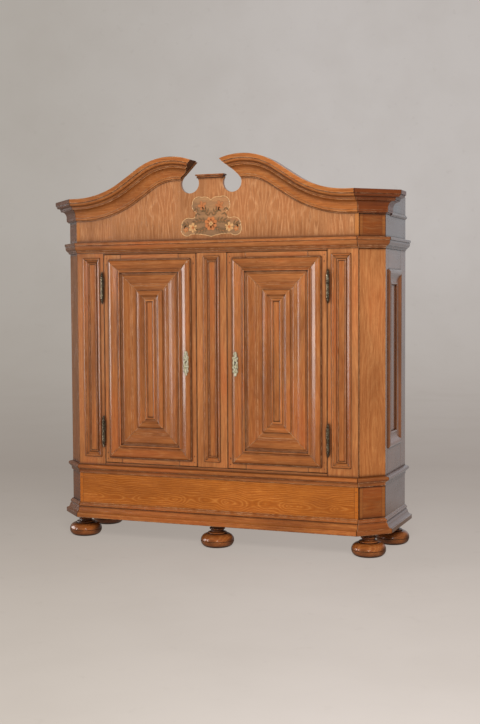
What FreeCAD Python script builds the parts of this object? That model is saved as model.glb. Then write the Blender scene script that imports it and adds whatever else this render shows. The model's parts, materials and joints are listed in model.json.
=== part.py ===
import FreeCAD, Part
import math
import os

os.makedirs("parts", exist_ok=True)

# A two-door oak cupboard (kas) with canted corners and a broken swan-neck pediment.
# Millimetres. X runs to the viewer's right, the front looks along -Y, Z is up. The origin is at
# floor level, midway between the sides and midway between the crown's front and the back.

# ---- plan ----
halfFront = 840.0        # half width of the flat front, between the canted corners
cantSize = 114.0         # each canted corner, measured along X and along Y
bodyDepth = 562.0        # from the front edge of the canted corners to the back
facadeProud = 12.0       # how far the front stands before the canted corners
boardThick = 24.0        # boards of plinth, frieze, floor, ceiling and shelves
frameThick = 30.0        # front frame, corner posts and doors

# ---- heights of the stages ----
footStage = 130.0        # clear height below the base moulding
plinthHigh = 258.0
caseHigh = 1320.0
friezeHigh = 246.0       # frieze and crown together, at the sides

# ---- mouldings: projection, height, and how far each laps below the joint it hides ----
baseProj, baseHigh, baseLap = 41.0, 83.0, 4.0
capProj, capHigh, capLap = 24.0, 50.0, 4.0
waistProj, waistHigh, waistLap = 31.0, 59.0, 55.0
crownProj, crownHigh = 88.0, 123.0
crownAboveSides = 4.0
crownReturn = 112.0      # length of the crown's return along each side
beadProj, beadHigh, beadLap = 10.0, 23.0, 6.0

# ---- swan neck of the crown, along its lower edge ----
swanFlat = 40.0          # straight length beside each corner
swanLowRadius = 650.0    # hollow sweep
swanHighRadius = 245.0   # round sweep over the peak
swanAngle = 33.0         # steepest slope, degrees
swanPeakX = 210.0        # distance of each peak from the middle
swanPastPeak = 28.0      # degrees that the round sweep runs on past its peak
boardBelowCrown = 5.0    # the frieze board stops this far under the crown's top

# ---- broken middle of the pediment, heights from the peak of the crown's lower edge ----
holeX, holeRadius, holeDrop = 126.0, 55.0, 19.0
tipX, tipRise = 91.0, 93.0
pedestalRise = 10.0
pedestalCapHalf, pedestalCapHigh, pedestalCapProj = 86.0, 16.0, 20.0
pedestalCapStep = 7.0

# ---- front frame ----
outerStileWide = 171.5
centreHalf = 91.0        # half width of the fixed centre stile
topRailHigh, bottomRailHigh = 64.0, 60.0
doorGap = 2.5            # between door and stile
doorClear = 2.0          # between door and rail

# ---- sunk panels of the three fixed stiles ----
pilasterInnerMargin, pilasterOuterMargin = 23.0, 41.0
centrePilasterMargin = 42.5
pilasterFoot, pilasterHead = 93.0, 84.0   # from the carcase's bottom and top
pilasterDeep = 14.0
pilasterFieldWide = 37.0
pilasterFieldThick = 5.0
pilasterBead = 6.0

# ---- doors ----
doorRail = 108.0         # width of the door's stiles and rails
panelSet = 6.0           # panel face behind the frame's face
panelThick = 14.0
grooveDeep = 10.0
tenonLong, tenonThick, tenonHigh = 60.0, 10.0, 70.0
outerRingInset = 30.0    # plain margin round the door
ridgeHigh = 22.0         # crest of the outer moulding
crestAcross, crestFlat = 31.0, 2.0   # the crest's place and half width, in hundredths of the moulding's width
innerRingHigh = 15.0
fieldWide, fieldRise = 34.0, 3.0

# ---- panelled sides ----
sideThick = 26.0
sideStileFront, sideStileBack = 51.0, 111.0
sideRailLow, sideRailHigh = 186.0, 164.0
sidePanelSet, sidePanelThick = 10.0, 12.0
sideRingRise = 11.0
sideFieldWide = 118.0

# ---- inside ----
backInset, backThick, backCount = 2.0, 20.0, 5
shelfCount = 2
bearerWide, bearerHigh = 22.0, 36.0
postHalf, postDeep = 20.0, 40.0

# ---- feet ----
footRadius, footBunHigh, footPad = 95.0, 74.0, 62.0
footScoreHalf, footScoreDeep = 2.2, 3.0          # the line scored round each bun
footRing, footRingHigh, footRingProud = 51.0, 9.0, 4.0
footCollar, footCollarHigh = 46.0, 14.0
footDowelRadius, footDowelLong, footDowelSlack = 12.0, 34.0, 0.05
footSideIn, footBackSideIn = 89.0, 48.0
footFrontIn, footCentreIn, footBackIn = 100.0, 52.0, 95.0
footBearerWide, footBearerHigh = 90.0, 40.0

# ---- hinges ----
hingeOut = 8.0           # axis beyond the door's edge
hingeProud = 10.0        # axis before the front face
barrelRadius, barrelLong = 8.5, 60.0
hingePinRadius, hingePinSlack, hingePinEnd = 4.0, 0.05, 6.0
knuckleGap = 0.3
leafThick, leafDeep, leafProud, leafEnd = 3.0, 24.0, 0.5, 2.0
hingeAboveBottom, hingeBelowTop = 179.0, 188.0
finialLong, finialLip = 29.0, 1.0

# ---- locks ----
keyholeHigh = 588.0      # above the door's lower edge
keyholeRadius, keySlotHalf, keySlotLong = 4.0, 2.0, 14.0
lockLong, lockHigh, lockDeep, lockWall = 96.0, 84.0, 24.0, 2.0
lockEdge = 3.5           # lock case from the door's free edge
lockBelowKey = 32.0
boltLong, boltHigh, boltThick = 88.0, 16.0, 10.0
boltSlack, boltEdge = 0.3, 0.5
boltBehind = 5.0         # bolt behind the door's back
boltAboveKey = 16.0
guideAcross, guideLong, guideWrap = 52.0, 8.0, 6.0
keyPinRadius, keyPinClear = 2.0, 4.0
keepLong, keepWall, keepClear, keepEdge = 26.0, 3.0, 2.0, 4.0
plateHalfWide, plateHigh, plateThick = 17.0, 137.0, 2.0
plateBelowKey = 8.0

# ---- inlay ----
inlayHalfWide, inlayHigh, inlayThick = 180.0, 218.0, 1.5
inlayAboveCase = 22.0

# ---- places that follow ----
plinthBottom = footStage + baseLap
caseBottom = plinthBottom + plinthHigh
caseTop = caseBottom + caseHigh
corniceTop = caseTop + friezeHigh
crownBottom = corniceTop + crownAboveSides - crownHigh
yPost = (facadeProud + crownProj - bodyDepth) / 2
yFace = yPost - facadeProud
yBack = yPost + bodyDepth
yCant = yPost + cantSize
ySideJoint = yCant - facadeProud
yInner = yFace + frameThick
halfBody = halfFront + cantSize
sideInner = halfBody - sideThick
stileInner = halfFront - outerStileWide
doorOuter = stileInner - doorGap
doorInner = centreHalf + doorGap
railBottom = caseBottom + bottomRailHigh
railTop = caseTop - topRailHigh
doorBottom = railBottom + doorClear
doorTop = railTop - doorClear
floorTop = caseBottom + boardThick
ceilingBottom = caseTop - boardThick
backFace = yBack - backInset - backThick
hingeX = doorOuter + hingeOut
hingeY = yFace - hingeProud
beyond = 2 * corniceTop  # reach of the blocks that trim other pieces


def vec(x, y, z):
    return FreeCAD.Vector(x, y, z)


def box(x0, x1, y0, y1, z0, z1):
    return Part.makeBox(x1 - x0, y1 - y0, z1 - z0, vec(x0, y0, z0))


def mirrored(shape):
    return shape.mirror(vec(0, 0, 0), vec(1, 0, 0))


def save(name, *solids):
    shape = solids[0] if len(solids) == 1 else Part.makeCompound(list(solids))
    shape.exportStep("parts/" + name + ".step")


def savePair(name, *solids):
    # the right-hand piece as modelled, and its twin across the middle
    save("right_" + name, *solids)
    save("left_" + name, *[mirrored(s) for s in solids])


def saveBothSides(name, *solids):
    # one node for the right-hand piece and its twin
    save(name, *[mirrored(s) for s in solids], *solids)


def outlineFace(start, steps, place):
    # a step is an end point, or a pair: a point that an arc passes, then its end point
    edges = []
    here = start
    for step in steps:
        if isinstance(step[0], tuple):
            through, end = step
            edges.append(Part.Arc(place(*here), place(*through), place(*end)).toShape())
        else:
            end = step
            edges.append(Part.LineSegment(place(*here), place(*end)).toShape())
        here = end
    if here != start:
        edges.append(Part.LineSegment(place(*here), place(*start)).toShape())
    return Part.Face(Part.Wire(edges))


def sized(shape, across, up):
    # outlines are drawn in hundredths of their own width and height
    def point(p):
        return p[0] * across / 100, p[1] * up / 100
    return [(point(s[0]), point(s[1])) if isinstance(s[0], tuple) else point(s) for s in shape]


def planPrism(points, z0, z1):
    corners = [vec(x, y, z0) for x, y in points]
    return Part.Face(Part.makePolygon(corners + corners[:1])).extrude(vec(0, 0, z1 - z0))


def elevationPrism(points, y0, y1):
    corners = [vec(x, y0, z) for x, z in points]
    return Part.Face(Part.makePolygon(corners + corners[:1])).extrude(vec(0, y1 - y0, 0))


def bothWays(points):
    # closes a right-hand outline with its mirror image
    return points + [(-x, y) for x, y in reversed(points)]


# ---------------------------------------------------------------- moulding sections
# Each runs from its lower back edge outwards and up, as (projection, height).
baseShape = sized([(96, 0), (100, 3), (100, 26), ((97, 30), (89, 31)), ((62, 37), (44, 52)),
                   ((35, 63), (22, 70)), (20, 73), ((33, 81), (20, 88)), (18, 92), (0, 100)], baseProj, baseHigh)
capShape = sized([(15, 0), (15, 10), ((26, 34), (56, 42)), (56, 50), (67, 50), ((100, 70), (70, 92)),
                  (0, 100)], capProj, capHigh)
waistShape = sized([(15, 0), ((19, 12), (38, 17)), (38, 25), (47, 25), ((76, 41), (85, 69)), (85, 75),
                    (100, 75), (100, 97), (94, 100), (0, 100)], waistProj, waistHigh)
crownShape = sized([(5, 0), ((7, 4), (16, 6)), (16, 15), (18, 15), (18, 20), ((27, 44), (57, 54)), (60, 54),
                    (60, 59), (64, 59), ((66, 66), (76, 69)), ((89, 72), (93, 79)), (95, 79), (95, 82),
                    (100, 82), (100, 98), (98, 100), (0, 100)], crownProj, crownHigh)
beadShape = sized([(30, 0), (40, 17), ((100, 48), (40, 78)), (30, 100), (0, 100)], beadProj, beadHigh)


def section(shape, place, back=0.0):
    top = shape[-1][1]
    closing = [(-back, top), (-back, 0)] if back else []
    return outlineFace((0.0, 0.0), [*shape, *closing], place)


# plan of the whole case; the returns, drawn a little too deep, are cut back to it
caseBlock = planPrism(bothWays([(halfFront, yFace), (halfFront, yPost), (halfBody, yCant), (halfBody, yBack)]),
                      0, beyond)


def frontMoulding(shape, z):
    face = section(shape, lambda p, h: vec(-halfFront, yFace - p, z + h))
    return face.extrude(vec(2 * halfFront, 0, 0))


def cantMoulding(shape, z):
    # ends flush with the front run on one side and square to the side run on the other
    face = section(shape, lambda p, h: vec(halfFront, yFace - p, z + h), facadeProud)
    run = face.extrude(vec(2 * cantSize, 2 * cantSize, 0))
    return run.common(box(halfFront, beyond, -beyond, ySideJoint, 0, beyond))


def sideMoulding(shape, z, y0, y1):
    face = section(shape, lambda p, h: vec(halfBody + p, y0, z + h), facadeProud)
    return face.extrude(vec(0, y1 - y0, 0)).cut(caseBlock)


def mouldingRound(name, shape, z):
    save(name + "_front", frontMoulding(shape, z))
    saveBothSides(name + "_returns", cantMoulding(shape, z), sideMoulding(shape, z, ySideJoint, yBack))


def cantBoard(thick, z0, z1):
    # a board across the corner, its ends square to the front and to the side
    slant = thick * math.sqrt(2)
    return planPrism([(halfFront, yPost), (halfBody, yCant), (halfBody - slant, yCant),
                      (halfFront, yPost + slant)], z0, z1)


def insideBoard(cantThick, wall, front, back, z0, z1):
    # a board that fills the plan between the corner boards, the side walls and two upright planes
    slant = cantThick * math.sqrt(2)
    frontHalf = halfFront + front - yPost - slant
    return planPrism(bothWays([(frontHalf, front), (halfBody - slant, yCant), (halfBody - wall, yCant),
                               (halfBody - wall, back)]), z0, z1)


# ---------------------------------------------------------------- feet and plinth
footX, footBackX = halfBody - footSideIn, halfBody - footBackSideIn
feet = {
    "front_left_foot": (-footX, yPost + footFrontIn),
    "front_centre_foot": (0.0, yPost + footCentreIn),
    "front_right_foot": (footX, yPost + footFrontIn),
    "back_left_foot": (-footBackX, yBack - footBackIn),
    "back_right_foot": (footBackX, yBack - footBackIn),
}


middleOfBun = footBunHigh / 2
bunRound = (middleOfBun ** 2 + (footRadius - footPad) ** 2) / (2 * (footRadius - footPad))
bunShoulder = bunRound / math.sqrt(2)
scoreEdge = footRadius - bunRound + math.sqrt(bunRound ** 2 - footScoreHalf ** 2)
neckBottom = footBunHigh + footRingHigh
neckHigh = footStage - footCollarHigh - neckBottom


def onNeck(out, up):
    # a point of the neck, in hundredths of the collar's radius and of the neck's height
    return footCollar * out / 100, neckBottom + neckHigh * up / 100


def turnedFoot(x, y):
    # bun with a scored line, ring, hollow neck with a bead, collar and dowel
    shoulder = footRadius - bunRound + bunShoulder
    steps = [(footPad, 0), ((shoulder, middleOfBun - bunShoulder), (scoreEdge, middleOfBun - footScoreHalf)),
             (footRadius - footScoreDeep, middleOfBun), (scoreEdge, middleOfBun + footScoreHalf),
             ((shoulder, middleOfBun + bunShoulder), (footPad, footBunHigh)), (footRing, footBunHigh),
             ((footRing + footRingProud, footBunHigh + footRingHigh / 2), (footRing, neckBottom)),
             onNeck(96, 0), (onNeck(81, 20), onNeck(84, 44)), (onNeck(96, 60), onNeck(84, 76)),
             (onNeck(88, 93), onNeck(100, 100)), (footCollar, plinthBottom), (footDowelRadius, plinthBottom),
             (footDowelRadius, plinthBottom + footDowelLong), (0, plinthBottom + footDowelLong)]
    face = outlineFace((0, 0), steps, lambda r, z: vec(x + r, y, z))
    return face.revolve(vec(x, y, 0), vec(0, 0, 1), 360)


for name, (x, y) in feet.items():
    save(name, turnedFoot(x, y))

plinthInside = insideBoard(boardThick, boardThick, yFace + boardThick, yBack - boardThick, plinthBottom,
                           plinthBottom + footBearerHigh)
bearers = []
bearerX = halfBody - boardThick - footBearerWide / 2
for middle in (-bearerX, 0.0, bearerX):
    beam = box(middle - footBearerWide / 2, middle + footBearerWide / 2, yFace, yBack, plinthBottom,
               plinthBottom + footBearerHigh).common(plinthInside)
    for x, y in feet.values():
        beam = beam.cut(Part.makeCylinder(footDowelRadius + footDowelSlack, footDowelLong + 1,
                                          vec(x, y, plinthBottom)))
    bearers.append(beam)
save("foot_bearers", *bearers)

save("plinth_board", box(-halfFront, halfFront, yFace, yFace + boardThick, plinthBottom, caseBottom))
saveBothSides("plinth_ends", cantBoard(boardThick, plinthBottom, caseBottom),
              box(halfBody - boardThick, halfBody, yCant, yBack, plinthBottom, caseBottom))
save("plinth_back_board", box(-halfBody + boardThick, halfBody - boardThick, yBack - boardThick, yBack,
                              plinthBottom, caseBottom))
mouldingRound("base_moulding", baseShape, footStage)
mouldingRound("plinth_cap", capShape, caseBottom - capLap)


# ---------------------------------------------------------------- front frame
def mitredRing(rect, shape, start, depth):
    # four mitred lengths round a rectangle (u0, u1, w0, w1) in the plane y = 0, facing -Y;
    # the shape holds (distance inwards, height above the plane)
    u0, u1, w0, w1 = rect
    level, upright = vec(u1 - u0, 0, 0), vec(0, 0, w1 - w0)
    lengths = [
        (lambda d, h: vec(u0, -h, w0 + d), level,
         [(u0, w0), (u1, w0), (u1 - depth, w0 + depth), (u0 + depth, w0 + depth)]),
        (lambda d, h: vec(u0, -h, w1 - d), level,
         [(u0, w1), (u0 + depth, w1 - depth), (u1 - depth, w1 - depth), (u1, w1)]),
        (lambda d, h: vec(u0 + d, -h, w0), upright,
         [(u0, w0), (u0 + depth, w0 + depth), (u0 + depth, w1 - depth), (u0, w1)]),
        (lambda d, h: vec(u1 - d, -h, w0), upright,
         [(u1, w0), (u1, w1), (u1 - depth, w1 - depth), (u1 - depth, w0 + depth)]),
    ]
    pieces = []
    for place, run, corners in lengths:
        length = outlineFace(start, shape, place).extrude(run)
        pieces.append(length.common(elevationPrism(corners, -depth, depth)))
    return pieces


pilasterBottom, pilasterTop = caseBottom + pilasterFoot, caseTop - pilasterHead


def pilasterPocket(x0, x1):
    return box(x0, x1, yFace, yFace + pilasterDeep, pilasterBottom, pilasterTop)


def pilasterPanel(x0, x1):
    # a bead round the edge, a slope down into the stile, a second bead and a plain field
    wide = (x1 - x0 - pilasterFieldWide) / 2
    floor = -pilasterDeep
    shape = [(0, pilasterBead / 2), ((0.15 * wide, pilasterBead), (0.3 * wide, pilasterBead / 2)),
             (0.3 * wide, 0), ((0.54 * wide, 0.32 * floor), (0.78 * wide, 0.72 * floor)),
             ((0.89 * wide, 0.38 * floor), (wide, 0.72 * floor)), (wide, floor)]
    ring = mitredRing((x0, x1, pilasterBottom, pilasterTop), shape, (0, floor), wide)
    field = box(x0 + wide, x1 - wide, yFace + pilasterDeep - pilasterFieldThick, yFace + pilasterDeep,
                pilasterBottom + wide, pilasterTop - wide)
    return [piece.translated(vec(0, yFace, 0)) for piece in ring] + [field]


def hingeLeaf(centre, upper, x0, x1, y0):
    # a leaf covers its own half of the hinge, a little short of each end
    z0 = centre + leafEnd if upper else centre - barrelLong + leafEnd
    return box(x0, x1, y0, yFace + leafDeep, z0, z0 + barrelLong - 2 * leafEnd)


hingeCentres = (doorBottom + hingeAboveBottom, doorTop - hingeBelowTop)
frameLeafX = (stileInner - leafProud, stileInner - leafProud + leafThick)
doorLeafX = (doorOuter + leafProud - leafThick, doorOuter + leafProud)
sidePilaster = (stileInner + pilasterInnerMargin, halfFront - pilasterOuterMargin)
centrePilaster = (centrePilasterMargin - centreHalf, centreHalf - centrePilasterMargin)

frontStile = box(stileInner, halfFront, yFace, yInner, caseBottom, caseTop).cut(pilasterPocket(*sidePilaster))
for centre in hingeCentres:
    frontStile = frontStile.cut(hingeLeaf(centre, False, *frameLeafX, yFace))
savePair("front_stile", frontStile)
save("front_top_rail", box(-stileInner, stileInner, yFace, yInner, railTop, caseTop))
save("front_bottom_rail", box(-stileInner, stileInner, yFace, yInner, caseBottom, railBottom))
save("centre_stile", box(-centreHalf, centreHalf, yFace, yInner, railBottom, railTop)
     .cut(pilasterPocket(*centrePilaster)))
rightPanel = pilasterPanel(*sidePilaster)
save("pilaster_panels", *[mirrored(s) for s in rightPanel], *pilasterPanel(*centrePilaster), *rightPanel)

# ---------------------------------------------------------------- corner posts, sides, back and inside
saveBothSides("corner_posts", cantBoard(frameThick, caseBottom, caseTop))

panelFront, panelBack = yCant + sideStileFront, yBack - sideStileBack
panelLow, panelHigh = caseBottom + sideRailLow, caseTop - sideRailHigh
sidePanel = box(halfBody - sidePanelSet - sidePanelThick, halfBody - sidePanelSet, panelFront - grooveDeep,
                panelBack + grooveDeep, panelLow - grooveDeep, panelHigh + grooveDeep)
savePair("side_frame",
         box(sideInner, halfBody, yCant, panelFront, caseBottom, caseTop).cut(sidePanel),
         box(sideInner, halfBody, panelBack, yBack, caseBottom, caseTop).cut(sidePanel),
         box(sideInner, halfBody, panelFront, panelBack, caseBottom, panelLow).cut(sidePanel),
         box(sideInner, halfBody, panelFront, panelBack, panelHigh, caseTop).cut(sidePanel))
sideRing = (panelBack - panelFront - sideFieldWide) / 2
sideShape = sized([(0, 18), (4, 55), ((21, 100), (40, 55)), ((61, -18), (82, -27)), ((92, 0), (100, -45))],
                  sideRing, sideRingRise)
sideMoulds = []
for piece in mitredRing((panelFront, panelBack, panelLow, panelHigh), [*sideShape, (sideRing, -sidePanelSet)],
                        (0, -sidePanelSet), sideRing):
    piece.rotate(vec(0, 0, 0), vec(0, 0, 1), 90)
    sideMoulds.append(piece.translated(vec(halfBody, 0, 0)))
savePair("side_panel", sidePanel, *sideMoulds)

save("floor_board", insideBoard(frameThick, sideThick, yInner, backFace, floorTop - boardThick, floorTop))
save("ceiling_board", insideBoard(frameThick, sideThick, yInner, backFace, ceilingBottom, caseTop))
backWide = 2 * sideInner / backCount
save("back_boards", *[box(i * backWide - sideInner, (i + 1) * backWide - sideInner, backFace, yBack - backInset,
                          caseBottom, caseTop) for i in range(backCount)])

shelfFront = yInner + postDeep
save("centre_post", box(-postHalf, postHalf, yInner, shelfFront, floorTop, ceilingBottom))
shelfStep = (ceilingBottom - floorTop - shelfCount * boardThick) / (shelfCount + 1) + boardThick
shelves, shelfBearers = [], []
for level in range(1, shelfCount + 1):
    top = floorTop + level * shelfStep
    under = top - boardThick
    shelves.append(insideBoard(frameThick, sideThick, shelfFront, backFace, under, top))
    sideBearer = box(sideInner - bearerWide, sideInner, yCant + bearerWide, backFace, under - bearerHigh, under)
    shelfBearers += [sideBearer, mirrored(sideBearer)]
    shelfBearers.append(box(bearerWide - sideInner, sideInner - bearerWide, backFace - bearerWide, backFace,
                            under - bearerHigh, under))
    shelfBearers.append(box(-postHalf, postHalf, shelfFront, shelfFront + bearerWide, under - bearerHigh, under))
save("shelves", *shelves)
save("shelf_bearers", *shelfBearers)

# ---------------------------------------------------------------- cornice
mouldingRound("waist_moulding", waistShape, caseTop - waistLap)

slopeSin, slopeCos = math.sin(math.radians(swanAngle)), math.cos(math.radians(swanAngle))
lowX, lowZ = halfFront - swanFlat, crownBottom + swanLowRadius
slopeLong = (lowX - swanPeakX - (swanLowRadius + swanHighRadius) * slopeSin) / slopeCos
highZ = lowZ + slopeLong * slopeSin - (swanLowRadius + swanHighRadius) * slopeCos
peakZ = highZ + swanHighRadius


def onLowSweep(offset, angle):
    # a point above the crown's lower edge by offset, where that edge slopes by angle
    reach, turn = swanLowRadius - offset, math.radians(angle)
    return lowX - reach * math.sin(turn), lowZ - reach * math.cos(turn)


def onHighSweep(offset, angle):
    reach, turn = swanHighRadius + offset, math.radians(angle)
    return swanPeakX + reach * math.sin(turn), highZ + reach * math.cos(turn)


pedestalTop = peakZ + pedestalRise
holeZ, tipZ = peakZ - holeDrop, peakZ + tipRise
footOfCut = holeX + math.sqrt(holeRadius ** 2 - (pedestalTop - holeZ) ** 2)
lean = (footOfCut - tipX) / (tipZ - pedestalTop)
overTip = crownHigh
openMiddle = elevationPrism(bothWays([(footOfCut, pedestalTop), (tipX - lean * overTip, tipZ + overTip)]),
                            -beyond, beyond)
for side in (-1, 1):
    openMiddle = openMiddle.fuse(Part.makeCylinder(holeRadius, 2 * beyond, vec(side * holeX, -beyond, holeZ),
                                                   vec(0, 1, 0)))

rise = crownHigh - boardBelowCrown
pastPeak = onHighSweep(rise, -swanPastPeak)
boardTop = [(halfFront, crownBottom + rise), (lowX, crownBottom + rise),
            (onLowSweep(rise, swanAngle / 2), onLowSweep(rise, swanAngle)), onHighSweep(rise, swanAngle),
            (onHighSweep(rise, (swanAngle - swanPastPeak) / 2), pastPeak), (0.0, pastPeak[1])]
halfBoard = outlineFace((0.0, caseTop), [(halfFront, caseTop), *boardTop], lambda x, z: vec(x, yFace, z))
halfBoard = halfBoard.extrude(vec(0, boardThick, 0))
friezeBoard = halfBoard.fuse(mirrored(halfBoard)).removeSplitter().cut(openMiddle)

# a cartouche of three lobes a side, let into the frieze
inlayShape = sized([((34, 6), (67, 7)), ((98, 10), (99, 26)), ((93, 42), (68, 47)), ((52, 52), (51, 64)),
                    ((62, 73), (62, 85)), ((53, 99), (31, 100)), ((13, 100), (0, 93))], inlayHalfWide, inlayHigh)
inlayHalf = outlineFace((0.0, 0.0), inlayShape, lambda x, z: vec(x, yFace, caseTop + inlayAboveCase + z))
inlayHalf = inlayHalf.extrude(vec(0, inlayThick, 0))
inlay = inlayHalf.fuse(mirrored(inlayHalf)).removeSplitter()
save("frieze_board", friezeBoard.cut(inlay))
save("frieze_inlay", inlay)

saveBothSides("frieze_ends", cantBoard(boardThick, caseTop, corniceTop),
              box(halfBody - boardThick, halfBody, yCant, yBack, caseTop, corniceTop))
save("cornice_back_board", box(-halfBody + boardThick, halfBody - boardThick, yBack - boardThick, yBack,
                               caseTop, corniceTop))
saveBothSides("side_beads", sideMoulding(beadShape, crownBottom - beadLap, ySideJoint + crownReturn, yBack))


def swanNeck():
    # flat, hollow sweep, slope and round sweep, cut off at the open middle
    sweepAxis = vec(0, 1, 0)
    face = section(crownShape, lambda p, h: vec(halfFront, yFace - p, crownBottom + h))
    lengths = [face.extrude(vec(-swanFlat, 0, 0))]
    face.translate(vec(-swanFlat, 0, 0))
    lengths.append(face.revolve(vec(lowX, 0, lowZ), sweepAxis, swanAngle))
    face.rotate(vec(lowX, 0, lowZ), sweepAxis, swanAngle)
    slope = vec(-slopeLong * slopeCos, 0, slopeLong * slopeSin)
    lengths.append(face.extrude(slope))
    face.translate(slope)
    lengths.append(face.revolve(vec(swanPeakX, 0, highZ), -sweepAxis, swanAngle + swanPastPeak))
    return lengths[0].fuse(lengths[1:]).removeSplitter().cut(openMiddle)


savePair("crown", swanNeck())
savePair("crown_corner", cantMoulding(crownShape, crownBottom),
         sideMoulding(crownShape, crownBottom, ySideJoint, ySideJoint + crownReturn))

capBack = yFace + boardThick
capMiddle = pedestalTop + pedestalCapHigh / 2
capStep = pedestalCapHalf - pedestalCapStep
slab = box(-pedestalCapHalf, pedestalCapHalf, yFace - pedestalCapProj, capBack, capMiddle,
           pedestalTop + pedestalCapHigh)
underSlab = box(-capStep, capStep, yFace - pedestalCapProj + pedestalCapStep, capBack, pedestalTop, capMiddle)
save("pedestal_cap", slab.fuse(underSlab))


# ---------------------------------------------------------------- doors
def keyway(x, z, y0, y1):
    # a round head with a slot below it
    head = Part.makeCylinder(keyholeRadius, y1 - y0, vec(x, y0, z), vec(0, 1, 0))
    return head.fuse(box(x - keySlotHalf, x + keySlotHalf, y0, y1, z - keySlotLong, z))


outerRingWide = doorRail - outerRingInset
keyX = doorInner + outerRingInset + crestAcross * outerRingWide / 100
keyZ = doorBottom + keyholeHigh
crestY = yFace - ridgeHigh
keyCut = keyway(keyX, keyZ, crestY - 2 * plateThick, yInner)
panelY = yFace + panelSet
panelX0, panelX1 = doorInner + doorRail, doorOuter - doorRail
panelZ0, panelZ1 = doorBottom + doorRail, doorTop - doorRail
panel = box(panelX0 - grooveDeep, panelX1 + grooveDeep, panelY, panelY + panelThick, panelZ0 - grooveDeep,
            panelZ1 + grooveDeep)


def doorRailWithTenons(z0):
    rail = box(panelX0, panelX1, yFace, yInner, z0, z0 + doorRail)
    tenonY = yFace + (frameThick - tenonThick) / 2
    tenonZ = z0 + (doorRail - tenonHigh) / 2
    tenons = box(panelX0 - tenonLong, panelX1 + tenonLong, tenonY, tenonY + tenonThick, tenonZ, tenonZ + tenonHigh)
    return rail.fuse(tenons)


rails = [doorRailWithTenons(doorBottom), doorRailWithTenons(panelZ1)]
hingeStile = box(panelX1, doorOuter, yFace, yInner, doorBottom, doorTop)
lockStile = box(doorInner, panelX0, yFace, yInner, doorBottom, doorTop).cut(keyCut)
for centre in hingeCentres:
    hingeStile = hingeStile.cut(hingeLeaf(centre, True, *doorLeafX, yFace))
stiles = [stile.cut(rails) for stile in (hingeStile, lockStile)]
savePair("door_frame", *[member.cut(panel) for member in stiles + rails])
savePair("door_panel", panel)

outerShape = sized([(0, 32), (6, 32), (6, 45), ((13, 78), (crestAcross - crestFlat, 100)),
                    (crestAcross + crestFlat, 100), ((39, 94), (45, 80)), (73, 27), ((79, 34), (83, 48)),
                    ((88, 60), (93, 50)), (94, 14), (100, 9), (100, 0)], outerRingWide, ridgeHigh)
outerRect = (doorInner + outerRingInset, doorOuter - outerRingInset, doorBottom + outerRingInset,
             doorTop - outerRingInset)
outerRing = mitredRing(outerRect, outerShape, (0, 0), outerRingWide)
savePair("door_outer_moulding", *[piece.translated(vec(0, yFace, 0)).cut(keyCut) for piece in outerRing])

innerRingWide = (panelX1 - panelX0 - fieldWide) / 2
innerShape = sized([(0, 53), (6, 53), ((9, 87), (15, 93)), ((25, 80), (35, 53)), (36, 42), (42, 42), (43, 34),
                    ((50, 28), (54, 13)), (60, 13), ((63, 67), (70, 93)), ((74, 100), (78, 80)), ((81, 40), (85, 20)),
                    (90, 18), ((95, 54), (100, 20)), (100, 0)], innerRingWide, innerRingHigh)
innerRing = mitredRing((panelX0, panelX1, panelZ0, panelZ1), innerShape, (0, 0), innerRingWide)
field = box(panelX0 + innerRingWide, panelX1 - innerRingWide, panelY - fieldRise, panelY,
            panelZ0 + innerRingWide, panelZ1 - innerRingWide)
savePair("door_inner_moulding", *[piece.translated(vec(0, panelY, 0)) for piece in innerRing], field)


# ---------------------------------------------------------------- hinges
def finial(z, sign):
    # a small turned baluster that closes the barrel's end
    shape = sized([(100, 0), (100, 10), ((42, 21), (53, 31)), ((84, 48), (53, 66)), ((32, 72), (42, 79)),
                   ((53, 90), (10, 100)), (0, 100)], barrelRadius + finialLip, finialLong)
    face = outlineFace((0, 0), shape, lambda r, h: vec(hingeX + r, hingeY, z + sign * h))
    return face.revolve(vec(hingeX, hingeY, 0), vec(0, 0, 1), 360)


doorKnuckles, frameKnuckles = [], []
for centre in hingeCentres:
    upperFoot = vec(hingeX, hingeY, centre + knuckleGap / 2)
    upper = Part.makeCylinder(barrelRadius, barrelLong, upperFoot)
    upper = upper.fuse(hingeLeaf(centre, True, *doorLeafX, hingeY))
    upper = upper.cut(Part.makeCylinder(hingePinRadius + hingePinSlack, barrelLong - hingePinEnd, upperFoot))
    doorKnuckles.append(upper.fuse(finial(upperFoot.z + barrelLong, 1)).removeSplitter())
    lowerFoot = vec(hingeX, hingeY, centre - knuckleGap / 2 - barrelLong)
    lower = Part.makeCylinder(barrelRadius, barrelLong, lowerFoot)
    lower = lower.fuse(hingeLeaf(centre, False, *frameLeafX, hingeY))
    pin = Part.makeCylinder(hingePinRadius, 2 * (barrelLong - hingePinEnd) + hingePinEnd, lowerFoot)
    frameKnuckles.append(lower.fuse([pin, finial(lowerFoot.z, -1)]).removeSplitter())
savePair("door_hinge_knuckles", *doorKnuckles)
saveBothSides("frame_hinge_knuckles", *frameKnuckles)

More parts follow.
